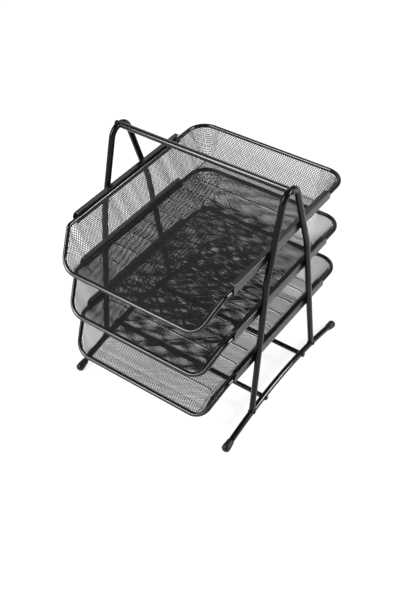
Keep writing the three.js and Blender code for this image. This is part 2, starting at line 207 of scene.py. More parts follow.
black_zinc = finish("black_zinc", (0.03, 0.03, 0.032), (0.06, 0.06, 0.064), (0.25, 0.4),
                    peel_size=0.5 * MM, peel_depth=0.02 * MM, shine=0.5, metal=0.8)
print("finishes:", [m.name for m in bpy.data.materials if m.use_nodes])

# %% [markdown]
# ## Bent tubes
#
# A tube bender makes straights joined by round bends. The same rule makes the paths here: a list of
# corners, each with a bend radius. A section swept along the path gives the tube. This keeps every
# wall the same thickness round a bend, which a curve object's bevel doesn't promise where the
# path turns in three dimensions.

# %% Paths and skins
def bend_path(corners, closed, arc_step=math.radians(5)):
    """Points along straights joined by arcs. A corner is (x, y, z, bend radius)."""
    places = [np.array(c[:3], float) for c in corners]
    points = []
    for i, (*_, radius) in enumerate(corners):
        at = places[i]
        if not radius or (not closed and i in (0, len(corners) - 1)):
            points.append(at)
            continue
        back = places[i - 1] - at
        ahead = places[(i + 1) % len(corners)] - at
        back /= np.linalg.norm(back)
        ahead /= np.linalg.norm(ahead)
        half = math.acos(np.clip(back @ ahead, -1, 1)) / 2
        middle = back + ahead
        centre = at + middle / np.linalg.norm(middle) * radius / math.sin(half)
        first = at + back * radius / math.tan(half) - centre
        last = at + ahead * radius / math.tan(half) - centre
        turned = math.pi - 2 * half
        steps = max(4, round(turned / arc_step))
        for k in range(steps + 1):
            a = turned * k / steps
            spoke = (math.sin(turned - a) * first + math.sin(a) * last) / math.sin(turned)
            points.append(centre + spoke)
    return np.array(points)


def directions(points, closed):
    steps = np.roll(points, -1, axis=0) - points
    if not closed:
        steps[-1] = steps[-2]
    steps /= np.linalg.norm(steps, axis=1)[:, None]
    before = np.roll(steps, 1, axis=0)
    if not closed:
        before[0] = steps[0]
    total = steps + before
    return total / np.linalg.norm(total, axis=1)[:, None]


def tube_rings(points, radius, sides, reference, closed):
    along = directions(points, closed)
    across = np.cross(reference, along)
    across /= np.linalg.norm(across, axis=1)[:, None]
    over = np.cross(along, across)
    angles = np.linspace(0, 2 * math.pi, sides, endpoint=False)
    radii = np.broadcast_to(radius, len(points))[:, None, None]
    return (points[:, None]
            + radii * np.cos(angles)[None, :, None] * across[:, None]
            + radii * np.sin(angles)[None, :, None] * over[:, None])


def skin_faces(ring_count, sides, closed, first=0):
    faces = []
    for r in range(ring_count if closed else ring_count - 1):
        here = first + r * sides
        there = first + (r + 1) % ring_count * sides
        for s in range(sides):
            t = (s + 1) % sides
            faces.append((here + s, here + t, there + t, there + s))
    if not closed:
        faces.append(tuple(first + s for s in reversed(range(sides))))
        faces.append(tuple(first + (ring_count - 1) * sides + s for s in range(sides)))
    return faces


def flipped(faces):
    """The same faces, seen from their other side."""
    return [tuple(reversed(face)) for face in faces]


def make_piece(name, points, faces, material, body, nodes, smooth=True):
    """A mesh object that rides on a body and takes the place of some of the model's nodes."""
    mesh = bpy.data.meshes.new(name)
    mesh.from_pydata([tuple(p) for p in points], [], faces)
    mesh.validate()
    mesh.polygons.foreach_set("use_smooth", [smooth] * len(mesh.polygons))
    mesh.materials.append(material)
    piece = bpy.data.objects.new(name, mesh)
    bpy.context.scene.collection.objects.link(piece)
    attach(piece, body)
    if nodes:
        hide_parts(*nodes)
    return piece


def keep_edges(piece, degrees=40):
    """Ends and corners stay crisp where two faces meet at more than this angle."""
    with bpy.context.temp_override(active_object=piece, object=piece, selected_editable_objects=[piece]):
        bpy.ops.object.shade_smooth_by_angle(angle=math.radians(degrees))


def tube_piece(name, path, radius, reference, material, body, nodes, closed=False, sides=32):
    rings = tube_rings(path, radius, sides, reference, closed)
    faces = skin_faces(len(rings), sides, closed)
    piece = make_piece(name, rings.reshape(-1, 3), faces, material, body, nodes)
    if not closed:
        keep_edges(piece)
    return piece


ALONG_X = np.array((1.0, 0, 0))
UPWARD = np.array((0, 0, 1.0))
print("bars lie along", ALONG_X, "and upward is", UPWARD)

# %% [markdown]
# ## Foot rails and A frames
#
# Each side of the stand is two bent tubes: a shallow arch that stands on its ends, and an A frame
# that is welded to it. The arch is a parabola, as a long tube takes when it is bent over a former
# at one height. A leg leans in a little up to its shoulder and more above it. The upper stretches
# aim at a point above the top, and the tight bend cuts that point off at the right height. The point
# and the lean depend on each other, so they are worked out in turns until they agree.

# %% Foot rails
RAIL_POINTS = 49


def rail_height(y):
    return RAIL_END_HEIGHT + RAIL_RISE * (1 - (y / RAIL_HALF) ** 2)


for side, outward in SIDES.items():
    y = np.linspace(-RAIL_HALF, RAIL_HALF, RAIL_POINTS)
    path = np.column_stack((np.full_like(y, outward * FRAME_PLANE), y, rail_height(y)))
    tube_piece(f"rail_{side}", path, TUBE_RADIUS, ALONG_X, wire_coat, "stand",
               [f"foot_rail_{side}"])
print("rail middle height", round(rail_height(0) / MM, 1), "mm")

# %% A frames
PEAK_TURNS = 40
leg_foot = rail_height(LEG_SPREAD)
shoulder_height = APEX_HEIGHT - SHOULDER_DROP
shoulder_spread = LEG_SPREAD - SHOULDER_INSET
leg_lean = math.atan(SHOULDER_INSET / (shoulder_height - leg_foot))
peak = APEX_HEIGHT
for _ in range(PEAK_TURNS):
    upper_lean = math.atan(shoulder_spread / (peak - shoulder_height))
    peak = APEX_HEIGHT + APEX_BEND * (1 / math.sin(upper_lean) - 1)

for side, outward in SIDES.items():
    x = outward * FRAME_PLANE
    corners = [(x, -LEG_SPREAD, leg_foot, 0), (x, -shoulder_spread, shoulder_height, SHOULDER_BEND),
               (x, 0, peak, APEX_BEND), (x, shoulder_spread, shoulder_height, SHOULDER_BEND),
               (x, LEG_SPREAD, leg_foot, 0)]
    tube_piece(f"frame_{side}", bend_path(corners, False), TUBE_RADIUS, ALONG_X, powder_coat, "stand",
               [f"a_frame_{side}"])
print("legs lean", round(math.degrees(leg_lean), 2), "and",
      round(math.degrees(upper_lean), 2), "degrees")

# %% [markdown]
# ## Weld beads
#
# Every leg ends in a fillet weld round its foot. A bead follows the line where the two tubes meet.
# That line is found by walking round the leg and sliding down its wall to the rail's surface. A
# weaving hand leaves ripples, so the bead's thickness swells a little from place to place.

# %% Weld beads round the legs' feet
BEAD_RADIUS = 1.5 * MM
BEAD_SIDES = 10
BEAD_STAND_OFF = 1.02
SEARCH_REACH = 3
SEARCH_HALVINGS = 24
RIPPLE = 0.12
RIPPLE_TURN = 2.3
RIPPLE_ERROR = 0.05
BEAD_SEED = 7
bead_noise = np.random.default_rng(BEAD_SEED)


def down_the_leg(toward):
    return np.array((0, toward * math.sin(leg_lean), -math.cos(leg_lean)))


def bead_path(x, toward, steps=40):
    leg_down = down_the_leg(toward)
    leg_across = np.cross(leg_down, ALONG_X)
    foot = np.array((x, toward * LEG_SPREAD, leg_foot))
    places = []
    for k in range(steps):
        angle = 2 * math.pi * k / steps
        edge = math.cos(angle) * ALONG_X + math.sin(angle) * leg_across
        start = foot + edge * TUBE_RADIUS * BEAD_STAND_OFF
        low, high = -SEARCH_REACH * TUBE_RADIUS, 0.0
        for _ in range(SEARCH_HALVINGS):
            reach = (low + high) / 2
            p = start + reach * leg_down
            slope = -2 * RAIL_RISE * p[1] / RAIL_HALF ** 2
            drop = (p[2] - rail_height(p[1])) / math.hypot(1, slope)
            if math.hypot(p[0] - x, drop) > TUBE_RADIUS:
                low = reach
            else:
                high = reach
        places.append(start + (low + high) / 2 * leg_down)
    return np.array(places)


for side, outward in SIDES.items():
    for end, toward in ENDS.items():
        path = bead_path(outward * FRAME_PLANE, toward)
        ripples = RIPPLE * np.sin(np.arange(len(path)) * RIPPLE_TURN)
        swell = 1 + ripples + bead_noise.normal(0, RIPPLE_ERROR, len(path))
        rings = tube_rings(path, BEAD_RADIUS * swell, BEAD_SIDES, down_the_leg(toward), True)
        make_piece(f"weld_{end}_{side}", rings.reshape(-1, 3), skin_faces(len(rings), BEAD_SIDES, True),
                   powder_coat, "stand", [])
print("welds: 4, bead", BEAD_RADIUS / MM, "mm")

# %% [markdown]
# ## Bars and screws
#
# Two thin bars tie the foot rails together, and the handle ties the tops. They are straight, so the
# path has only its ends and a point close to each, which gives them a small turned edge. Each end is
# held by a button-head screw from the outside, a turned shape with a hexagon pressed into it.

# %% Handle bar and cross bars
BAR_EDGE = 0.4 * MM


def straight_bar(name, y, z, radius, node):
    low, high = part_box(node)
    x = np.array((low.x, low.x + BAR_EDGE, high.x - BAR_EDGE, high.x))
    path = np.column_stack((x, np.full(len(x), y), np.full(len(x), z)))
    radii = np.array((radius - BAR_EDGE, radius, radius, radius - BAR_EDGE))
    tube_piece(name, path, radii, UPWARD, wire_coat, "stand", [node])


straight_bar("handle", 0, APEX_HEIGHT, HANDLE_RADIUS, "handle_bar")
for end, toward in ENDS.items():
    straight_bar(f"tie_bar_{end}", toward * BAR_SPREAD, BAR_HEIGHT, BAR_RADIUS, f"cross_bar_{end}")
print("bars", round(2 * BAR_RADIUS / MM, 1), "mm and handle", round(2 * HANDLE_RADIUS / MM, 1), "mm")

# %% Button-head screws
HEAD_RADIUS = 4.3 * MM
HEAD_HEIGHT = 2.6 * MM
SOCKET_RADIUS = 1.5 * MM
SOCKET_DEPTH = 1.3 * MM
HEAD_SKIRT = 0.5 * MM
DOME_ANGLE = math.radians(62)
DOME_RINGS = 8
SHANK_SHARE = 0.45
SEAT_SHARE = 0.97


def screw_rings(sides=36):
    """Rings of a screw head that points along +X, from its seat out to the bottom of its socket."""
    angles = np.linspace(0, 2 * math.pi, sides, endpoint=False)
    dome = [(HEAD_RADIUS * math.cos(t), HEAD_SKIRT + (HEAD_HEIGHT - HEAD_SKIRT) * math.sin(t))
            for t in np.linspace(0, DOME_ANGLE, DOME_RINGS)]
    profile = [(HEAD_RADIUS * SHANK_SHARE, 0), (HEAD_RADIUS * SEAT_SHARE, 0), *dome]
    rings = [np.column_stack((np.full(sides, h), r * np.cos(angles), r * np.sin(angles)))
             for r, h in profile]
    flat = math.pi / 3
    hexagon = SOCKET_RADIUS / np.cos((angles + flat / 2) % flat - flat / 2) * math.cos(flat / 2)
    for depth in (0.0, SOCKET_DEPTH):
        rings.append(np.column_stack((np.full(sides, profile[-1][1] - depth),
                                      hexagon * np.cos(angles), hexagon * np.sin(angles))))
    return np.array(rings)


for node in [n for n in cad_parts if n.startswith("screw")]:
    low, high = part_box(node)
    outward = 1 if low.x > 0 else -1
    seat = (high.x if outward > 0 else low.x) - outward * HEAD_HEIGHT
    rings = screw_rings() * np.array((outward, 1, 1))
    rings = rings + np.array((seat, (low.y + high.y) / 2, (low.z + high.z) / 2))
    faces = skin_faces(len(rings), rings.shape[1], False)
    if outward < 0:
        faces = flipped(faces)
    piece = make_piece(node.replace("screw", "button_screw"), rings.reshape(-1, 3), faces, black_zinc,
                       "stand", [node])
    keep_edges(piece)
print("screw heads", 2 * HEAD_RADIUS / MM, "mm across")

# %% [markdown]
# ## Rubber feet
#
# The feet are moulded boots that push over the rails' ends. They are thin at the mouth, swell to a
# bulb and end in a dome. Their weight presses a flat where they stand, so what lies under the desk's
# level is pressed up to it. A turned profile makes the boot, laid along the rail's last stretch.

# %% Rubber feet
BOOT_LENGTH = 14 * MM
BOOT_END = 5.4 * MM
BOOT_MOUTH = 5.5 * MM
BOOT_BULB = 6.8 * MM
MOUTH_DEPTH = 1.5 * MM
MOUTH_INSET = 0.35 * MM
LIP_INSET = 0.4 * MM
LIP_ROUND = 0.2 * MM
LIP_PROUD = 0.25 * MM
LIP_LENGTH = 0.4 * MM
SWELL_START = 0.08
SWELL_RINGS = 10
DOME_START = 1 * MM
DOME_FULLNESS = 0.8
DOME_MARGIN = 0.12
BOOT_DOME_RINGS = 10
BOOT_SIDES = 40


def boot_profile():
    """(radius, place along the rail) from inside the mouth, over the lip and out to the dome."""
    lip = [(BOOT_MOUTH - MOUTH_INSET, MOUTH_DEPTH - BOOT_LENGTH),
           (BOOT_MOUTH - LIP_INSET, LIP_ROUND - BOOT_LENGTH),
           (BOOT_MOUTH, -BOOT_LENGTH),
           (BOOT_MOUTH + LIP_PROUD, LIP_LENGTH - BOOT_LENGTH)]
    swell = []
    for t in np.linspace(SWELL_START, 1, SWELL_RINGS):
        ease = t * t * (3 - 2 * t)
        radius = BOOT_MOUTH + LIP_PROUD + (BOOT_BULB - BOOT_MOUTH - LIP_PROUD) * ease
        swell.append((radius, -BOOT_LENGTH + t * (BOOT_LENGTH - DOME_START)))
    reach = BOOT_END + DOME_START
    dome = [(BOOT_BULB * math.cos(a) ** DOME_FULLNESS, -DOME_START + reach * math.sin(a))
            for a in np.linspace(DOME_MARGIN, math.pi / 2 - DOME_MARGIN, BOOT_DOME_RINGS)]
    return lip + swell + dome


last_step = RAIL_HALF / 8
rail_slope = (rail_height(RAIL_HALF - last_step) - rail_height(RAIL_HALF)) / last_step
rail_tilt = math.atan(rail_slope)
for side, outward in SIDES.items():
    for end, toward in ENDS.items():
        along = np.array((0, toward * math.cos(rail_tilt), -math.sin(rail_tilt)))
        tip = np.array((outward * FRAME_PLANE, toward * RAIL_HALF, RAIL_END_HEIGHT))
        profile = boot_profile()
        path = np.array([tip + along * place for _, place in profile])
        radii = np.array([r for r, _ in profile])
        across = np.cross(ALONG_X, along)
        angles = np.linspace(0, 2 * math.pi, BOOT_SIDES, endpoint=False)
        rings = (path[:, None] + radii[:, None, None]
                 * (np.cos(angles)[None, :, None] * ALONG_X + np.sin(angles)[None, :, None] * across))
        points = rings.reshape(-1, 3)
        points[:, 2] = np.maximum(points[:, 2], 0)
        faces = skin_faces(len(rings), BOOT_SIDES, False)
        if toward < 0:
            faces = flipped(faces)
        piece = make_piece(f"foot_{end}_{side}", points, faces, foot_rubber, "stand",
                           [f"foot_cap_{end}_{side}"])
        keep_edges(piece, degrees=50)
print("feet tilt", round(math.degrees(rail_tilt), 1), "degrees")

# %% [markdown]
# ## Runners
#
# A runner is sheet steel folded into a channel. Its folds have a radius that catches a thin line of
# light along the whole edge, and that line is what tells the eye that it is folded sheet. The
# section is drawn as an outer and an inner line with round folds. Both ends have their upper corner
# cut off at a slant, so the end points that lie above the cut are drawn back by their height.

# %% Runners
SHEET = 1.0 * MM
FOLD = 1.6 * MM
END_CUT = 5 * MM
EDGE_WIDTH = 0.2 * MM
EDGE_SEGMENTS = 2
EDGE_ANGLE = math.radians(50)


def channel_section(height, flange, arc_steps=5):
    """Outer and inner line of the sheet, seen along the runner: (reach from the web inward, height)."""
    def line(radius, offset):
        low = [(offset + radius * (1 - math.cos(a)), offset + radius * (1 - math.sin(a)))
               for a in np.linspace(math.pi / 2, 0, arc_steps + 1)]
        high = [(r, height - h) for r, h in reversed(low)]
        cut = [(offset, height - END_CUT)]
        return [(flange, offset)] + low + cut + high + [(flange, height - offset)]

    return line(FOLD, 0), line(FOLD - SHEET, SHEET)


def channel_faces(count):
    """Skin between the two end rings, and end faces as a strip between the outer and inner line."""
    ring = 2 * count
    sides = [(k, (k + 1) % ring, ring + (k + 1) % ring, ring + k) for k in range(ring)]
    near = [(k + 1, k, ring - 1 - k, ring - 2 - k) for k in range(count - 1)]
    far = [tuple(ring + i for i in reversed(face)) for face in near]
    return sides + near + far


for tier in TIERS:
    for side, outward in SIDES.items():
        node = f"runner_{tier}_{side}"
        low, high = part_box(node)
        web = high.x if outward > 0 else low.x
        outer, inner = channel_section(high.z - low.z, high.x - low.x)
        points = []
        for end_place, toward in ((low.y, -1), (high.y, 1)):
            for reach, height in outer + inner[::-1]:
                above_cut = max(0, height - (high.z - low.z - END_CUT))
                points.append((web - outward * reach, end_place - toward * above_cut, low.z + height))
        faces = channel_faces(len(outer))
        if outward > 0:
            faces = flipped(faces)
        piece = make_piece(f"channel_{tier}_{side}", points, faces, sheet_coat, "stand",
                           [node])
        bevel = piece.modifiers.new("edges", "BEVEL")
        bevel.width = EDGE_WIDTH
        bevel.segments = EDGE_SEGMENTS
        bevel.limit_method = "ANGLE"
        bevel.angle_limit = EDGE_ANGLE
        keep_edges(piece, degrees=35)
print("runner section points", 2 * len(outer))

# %% [markdown]
# ## Tray rims
#
# The rim is one thick wire, bent into a loop and butt-welded. It is level along the sides and the
# rear, and turns down near the front so that paper can be reached. The front corners turn in a
# plane that slopes, so the path is bent in three dimensions.

# %% Tray rims
def rim_corners(inward=0.0):
    """Corners of the rim's path, level at z = 0, from the rear right round by the left."""
    side, front_side = RIM_SIDE - inward, FRONT_SIDE - inward
    rear, front = RIM_REAR - inward, RIM_FRONT + inward
    return [(side, rear, 0, REAR_BEND - inward), (-side, rear, 0, REAR_BEND - inward),
            (-side, KINK, 0, DIP_BEND), (-front_side, front, -DIP_DEPTH, FRONT_BEND - inward),
            (front_side, front, -DIP_DEPTH, FRONT_BEND - inward), (side, KINK, 0, DIP_BEND)]


rim_path = bend_path(rim_corners(), True)
for tier in TIERS:
    path = rim_path + np.array((0, 0, rim_heights[tier]))
    tube_piece(f"rim_{tier}", path, RIM_RADIUS, UPWARD, wire_coat, f"{tier}_tray",
               [f"{tier}_tray_rim"], closed=True, sides=24)
print("rim points", len(rim_path))

# %% [markdown]
# ## Expanded metal
#
# The baskets are pressed from one sheet of fine expanded metal, whose strands cross as diamonds.
# A picture of diamonds would show as a flat film, so each strand is a real bar here. The strands are
# straight lines on the flat sheet before it is pressed. The press folds the sheet's border up and
# stretches it, so a point outside the floor's outline goes up the wall by its distance from the
# outline, made longer by the stretch. Where the sheet is folded sharply, along the floor's edge and
# on the crests of the ribs, its diamonds close up to a line.

# %% Outline of the floor and of the walls' tops
FLOOR_DROP = 46 * MM
FLOOR_SIDE = RIM_SIDE - 30 * MM
FLOOR_REAR = RIM_REAR - 21.5 * MM
FLOOR_FRONT = RIM_FRONT + 4.5 * MM
FLOOR_FRONT_SIDE = FRONT_SIDE - 4.5 * MM
FLOOR_CORNER = 12 * MM
FLOOR_FLARE = 55 * MM
WALL_INSET = 3.0 * MM
FOOT_BEND = 4 * MM
BEND_SHARE = 0.45

FINE_ARC = math.radians(1.5)
FINE_STEP = 4 * MM


def with_more_points(loop):
    """The same closed loop with points on its straights too."""
    filled = []
    for here, there in zip(loop, np.roll(loop, -1, axis=0)):
        count = max(1, math.ceil(np.linalg.norm(there - here) / FINE_STEP))
        filled += [here + (there - here) * k / count for k in range(count)]
    return np.array(filled)


floor_corners = [(FLOOR_SIDE, FLOOR_REAR, 0, FLOOR_CORNER), (-FLOOR_SIDE, FLOOR_REAR, 0, FLOOR_CORNER),
                 (-FLOOR_SIDE, KINK, 0, FLOOR_FLARE), (-FLOOR_FRONT_SIDE, FLOOR_FRONT, 0, FLOOR_CORNER),
                 (FLOOR_FRONT_SIDE, FLOOR_FRONT, 0, FLOOR_CORNER), (FLOOR_SIDE, KINK, 0, FLOOR_FLARE)]
floor_loop = with_more_points(bend_path(floor_corners, True, FINE_ARC))
floor_loop[:, 2] = -FLOOR_DROP
rim_line = with_more_points(bend_path(rim_corners(WALL_INSET), True, FINE_ARC))
rim_next = np.roll(rim_line, -1, axis=0)


def rim_beyond(foot, away):
    """Where the upright plane that leaves the floor's outline squarely meets the line inside the rim."""
    beside = (rim_line - foot)[:, 0] * away[1] - (rim_line - foot)[:, 1] * away[0]
    beside_next = (rim_next - foot)[:, 0] * away[1] - (rim_next - foot)[:, 1] * away[0]
    ahead = (rim_line - foot) @ away
    crossed = np.flatnonzero((beside * beside_next <= 0) & (ahead > 0))
    k = crossed[ahead[crossed].argmin()]
    return rim_line[k] + (rim_next[k] - rim_line[k]) * beside[k] / (beside[k] - beside_next[k])


along_floor = directions(floor_loop, True)
away_from_floor = np.column_stack((along_floor[:, 1], -along_floor[:, 0], np.zeros(len(along_floor))))
top_loop = np.array([rim_beyond(foot, away) for foot, away in zip(floor_loop, away_from_floor)])
climb = top_loop - floor_loop
wall_lengths = np.linalg.norm(climb, axis=1)
foot_bends = np.minimum(FOOT_BEND, BEND_SHARE * wall_lengths)
floor_edge = floor_loop - away_from_floor * foot_bends[:, None]
print("wall", round(wall_lengths.max() / MM, 1), "mm at the side,",
      round(wall_lengths.min() / MM, 1), "mm at the front")

# %% A point of the wall
def once_more(loop):
    """A closed loop with its first row again at the end, for interpolation."""
    return np.concatenate((loop, loop[:1]))


middle_loop = once_more((floor_loop + top_loop) / 2)
walk = np.concatenate(([0], np.cumsum(np.linalg.norm(np.diff(middle_loop, axis=0), axis=1))))
wall_rows = once_more(np.column_stack((floor_loop, away_from_floor, climb)))


def wall_point(s, t):
    """s is the way round, t the climb from the floor's edge. Gives place, normal and room above."""
    rows = np.column_stack([np.interp(s % walk[-1], walk, column) for column in wall_rows.T])
    foot, away, rise = rows[:, :3], rows[:, 3:6], rows[:, 6:]
    length = np.linalg.norm(rise, axis=1)
    rise = rise / length[:, None]
    bend = np.minimum(FOOT_BEND, BEND_SHARE * length)[:, None]
    u = np.clip((t[:, None] + bend) / (2 * bend), 0, 1)
    curved = (1 - u) ** 2 * (foot - away * bend) + 2 * u * (1 - u) * foot + u ** 2 * (foot + rise * bend)
    place = np.where(t[:, None] > bend, foot + rise * t[:, None], curved)
    sideways = np.column_stack((-away[:, 1], away[:, 0], np.zeros(len(away))))
    normal = np.cross((1 - u) * away + u * rise, sideways)
    return place, normal / np.linalg.norm(normal, axis=1)[:, None], length - t


print("way round the wall", round(walk[-1] / MM), "mm")

# %% [markdown]
# ## Ribs
#
# Low ribs are pressed across the floor to stiffen it. Their section is a triangle, and they fade out
# just before the bend at the foot of each side wall.

# %% Ribs pressed into the floor
RIB_FIRST = 131.5 * MM
RIB_PITCH = 32.3 * MM
RIB_COUNT = 9
RIB_WIDTH = 3.6 * MM
RIB_HEIGHT = 1.8 * MM
RIB_FADE = 6 * MM
RIB_END = FLOOR_SIDE - FOOT_BEND - 2 * MM
rib_places = RIB_FIRST - RIB_PITCH * np.arange(RIB_COUNT)


def rib_height(x, y):
    off = np.abs(y[:, None] - rib_places[None]).min(axis=1) / (RIB_WIDTH / 2)
    return RIB_HEIGHT * np.clip(1 - off, 0, 1) * np.clip((RIB_END - np.abs(x)) / RIB_FADE, 0, 1)


print("ribs:", len(rib_places), "from", round(rib_places[0] / MM, 1),
      "to", round(rib_places[-1] / MM, 1), "mm")

# %% [markdown]
# ## Strands as bars
#
# A strand is a bar with four sides that follows a line and lies square to the sheet. The line needs
# points only where it turns or where its width changes, so those that add nothing are left out.

# %% Bars of sheet
LONG_PITCH = 3.8 * MM
SHORT_PITCH = 3.0 * MM
WALL_STRETCH = 1.5
STRAND_WIDTH = 0.85 * MM
STRAND_THICK = 0.4 * MM
STRAND_ERROR = 0.15 * MM
FEED_ERROR = 0.4 * MM
FEED_LENGTH = 8 * MM
WIDTH_ERROR = 0.09 * MM
LEAST_WIDTH = 0.5 * MM
STRAND_LAY = 0.12 * MM
CREASE_WIDTH = 1.0 * MM
CREST_WIDTH = 1.7 * MM
# The width of the strip of painted shade near the floor's front.
FOLD_SHADE_WIDTH = 0.5 * MM
SAMPLE = 0.8 * MM
SMOOTH_ENOUGH = 0.05 * MM
LEAST_LENGTH = 1e-12


def new_sheet():
    return {"points": [], "faces": [], "count": 0}


def add_strip(sheet, line, normal, width, closed=False):
    """A bar of the sheet's thickness along a line, lying square to the normals."""
    along = directions(line, closed)
    across = np.cross(normal, along)
    across *= width / 2 / np.linalg.norm(across, axis=1)[:, None]
    over = np.cross(along, across)
    over *= STRAND_THICK / 2 / np.linalg.norm(over, axis=1)[:, None]
    rings = np.stack((line + across + over, line - across + over,
                      line - across - over, line + across - over), axis=1)
    sheet["points"].append(rings.reshape(-1, 3))
    sheet["faces"].extend(skin_faces(len(rings), 4, closed, sheet["count"]))
    sheet["count"] += 4 * len(rings)


def thin_out(points):
    """Keeps the points that a line needs to stay smooth enough."""
    keep = np.zeros(len(points), bool)
    keep[[0, -1]] = True
    spans = [(0, len(points) - 1)]
    while spans:
        a, b = spans.pop()
        if b - a < 2:
            continue
        chord = points[b] - points[a]
        chord = chord / max(np.linalg.norm(chord), LEAST_LENGTH)
        away = points[a + 1:b] - points[a]
        away = away - (away @ chord)[:, None] * chord
        gaps = np.linalg.norm(away, axis=1)
        worst = int(gaps.argmax())
        if gaps[worst] > SMOOTH_ENOUGH:
            middle = a + 1 + worst
            keep[middle] = True
            spans += [(a, middle), (middle, b)]
    return np.flatnonzero(keep)


def add_strand(sheet, place, normal, width, family):
    """family is 1 or -1: strands of one family lie a little over those of the other."""
    if len(place) < 3:
        return
    kept = thin_out(np.column_stack((place, width)))
    laid = place[kept] + normal[kept] * STRAND_LAY * family
    add_strip(sheet, laid, normal[kept], width[kept, None])


print("strands", round(STRAND_WIDTH / MM, 2), "mm wide and", round(STRAND_THICK / MM, 2), "mm thick")

# %% [markdown]
# ## Pressing the sheet
#
# Each place on the flat sheet gets its place in the basket. Inside the floor's edge it stays level,
# apart from the ribs. Beyond the edge, the nearest point of the floor's outline says where it goes
# round the wall, and its distance from the outline says how far up.

# %% From the flat sheet to the pressed basket
def inside_loop(x, y, loop):
    """Which points lie inside a closed outline: a ray to the right crosses it an odd number of times."""
    x1, y1 = loop[:, 0], loop[:, 1]
    x2, y2 = np.roll(x1, -1), np.roll(y1, -1)
    spans = (y1[None] > y[:, None]) != (y2[None] > y[:, None])
    rise = np.where(y2 == y1, 1, y2 - y1)
    crossing = x1[None] + (y[:, None] - y1[None]) * ((x2 - x1) / rise)[None]
    return (spans & (x[:, None] < crossing)).sum(axis=1) % 2 == 1


outline = floor_loop[:, :2]
outline_steps = np.roll(outline, -1, axis=0) - outline
outline_lengths = np.linalg.norm(outline_steps, axis=1)


def fold_up(x, y):
    """The way round the wall and the climb of places on the flat sheet, negative on the floor."""
    offset = np.stack((x, y), axis=-1)[:, None] - outline[None]
    share = np.clip((offset * outline_steps).sum(axis=-1) / outline_lengths ** 2, 0, 1)
    gaps = np.linalg.norm(offset - share[..., None] * outline_steps, axis=-1)
    nearest = gaps.argmin(axis=1)
    rows = np.arange(len(x))
    s = walk[nearest] + share[rows, nearest] * np.diff(walk)[nearest]
    gap = gaps[rows, nearest]
    return s, np.where(inside_loop(x, y, outline), -gap, gap * WALL_STRETCH)


def press(x, y):
    """Places and normals in the basket, and which of the points lie on the sheet."""
    place = np.column_stack((x, y, rib_height(x, y) - FLOOR_DROP))
    normal = np.tile(UPWARD, (len(x), 1))
    kept = inside_loop(x, y, floor_edge)
    border = np.flatnonzero(~kept)
    place[border], normal[border], room = wall_point(*fold_up(x[border], y[border]))
    kept[border] = room > 0
    return place, normal, kept


print("floor's outline:", len(outline), "points")

# %% [markdown]
# ## Errors of the press
#
# The press slits and stretches the sheet row by row, and the feed isn't quite even, so no two trays
# have the same lattice. The places of the strands and their widths both change along the feed, each
# by chance, and every strand also starts a little off. Where one tray is seen through another, these
# small errors turn a regular pattern of light and dark blots into streaks along the rows. All three
# trays draw their errors from one seeded stream of chance. The errors of the feed change smoothly
# along it, so no strand is torn.

# %% Strands of one sheet
SLOPE = SHORT_PITCH / LONG_PITCH
BLANK_MARGIN = 45 * MM
SHEET_SIDE = FLOOR_SIDE + BLANK_MARGIN
SHEET_END = FLOOR_REAR + BLANK_MARGIN
ROWS = math.ceil((SLOPE * SHEET_SIDE + SHEET_END) / SHORT_PITCH)


def strands(sheet, chance):
    feeds = np.arange(-SHEET_END - FEED_LENGTH, SHEET_END + 2 * FEED_LENGTH, FEED_LENGTH)
    feed_errors = chance.normal(0, FEED_ERROR, len(feeds))
    feed_widths = np.maximum(chance.normal(STRAND_WIDTH, WIDTH_ERROR, len(feeds)), LEAST_WIDTH)
    for family in (1, -1):
        phase = chance.uniform()
        for i in range(-ROWS, ROWS):
            start = (i + phase) * SHORT_PITCH + chance.normal(0, STRAND_ERROR)
            x = np.arange(-SHEET_SIDE, SHEET_SIDE, SAMPLE)
            y = start + family * SLOPE * x
            width = np.interp(y, feeds, feed_widths)
            y += np.interp(y, feeds, feed_errors)
            on_blank = (np.abs(x) < SHEET_SIDE) & (np.abs(y) < SHEET_END)
            if not on_blank.any():
                continue
            place, normal, kept = press(x[on_blank], y[on_blank])
            runs = np.flatnonzero(kept)
            for run in np.split(runs, np.flatnonzero(np.diff(runs) > 1) + 1):
                add_strand(sheet, place[run], normal[run], width[on_blank][run], family)


print("blank", round(2 * SHEET_SIDE / MM), "mm wide and", 2 * ROWS, "rows in each family")

# %% Closed-up creases, a strip of painted shade near the front, and the three baskets
# The strip near the front is painted shade: a dark bar on the flat floor that stands in for the shading
# of a soft bend up to the front rim, which the floor's shape doesn't have.
FOLD_SHADE_PLACE = RIM_FRONT + 22 * MM
FOLD_SHADE_SIDE = FRONT_SIDE - 14 * MM
SHEET_SEED = 11


def creases_and_fold_shade(sheet):
    add_strip(sheet, floor_edge, np.broadcast_to(UPWARD, floor_edge.shape), CREASE_WIDTH, closed=True)
    # Painted shade: a dark bar across the flat floor near the front, in place of the shading of a soft
    # bend.
    fold_shade = np.array(((-FOLD_SHADE_SIDE, FOLD_SHADE_PLACE, -FLOOR_DROP),
                     (FOLD_SHADE_SIDE, FOLD_SHADE_PLACE, -FLOOR_DROP)))
    add_strip(sheet, fold_shade, np.broadcast_to(UPWARD, fold_shade.shape), FOLD_SHADE_WIDTH)
    for y in rib_places:
        x = np.array((-RIB_END, RIB_FADE - RIB_END, RIB_END - RIB_FADE, RIB_END))
        along_rib = np.full(len(x), y)
        crest = np.column_stack((x, along_rib, rib_height(x, along_rib) - FLOOR_DROP))
        add_strip(sheet, crest, np.broadcast_to(UPWARD, crest.shape), CREST_WIDTH)


chance = np.random.default_rng(SHEET_SEED)
for tier in TIERS:
    sheet = new_sheet()
    strands(sheet, chance)
    creases_and_fold_shade(sheet)
    cloud = np.vstack(sheet["points"]) + np.array((0, 0, rim_heights[tier]))
    make_piece(f"mesh_{tier}", cloud, sheet["faces"], mesh_coat, f"{tier}_tray",
               [f"{tier}_tray_basket"], smooth=False)
    print(tier, "basket faces", len(sheet["faces"]))

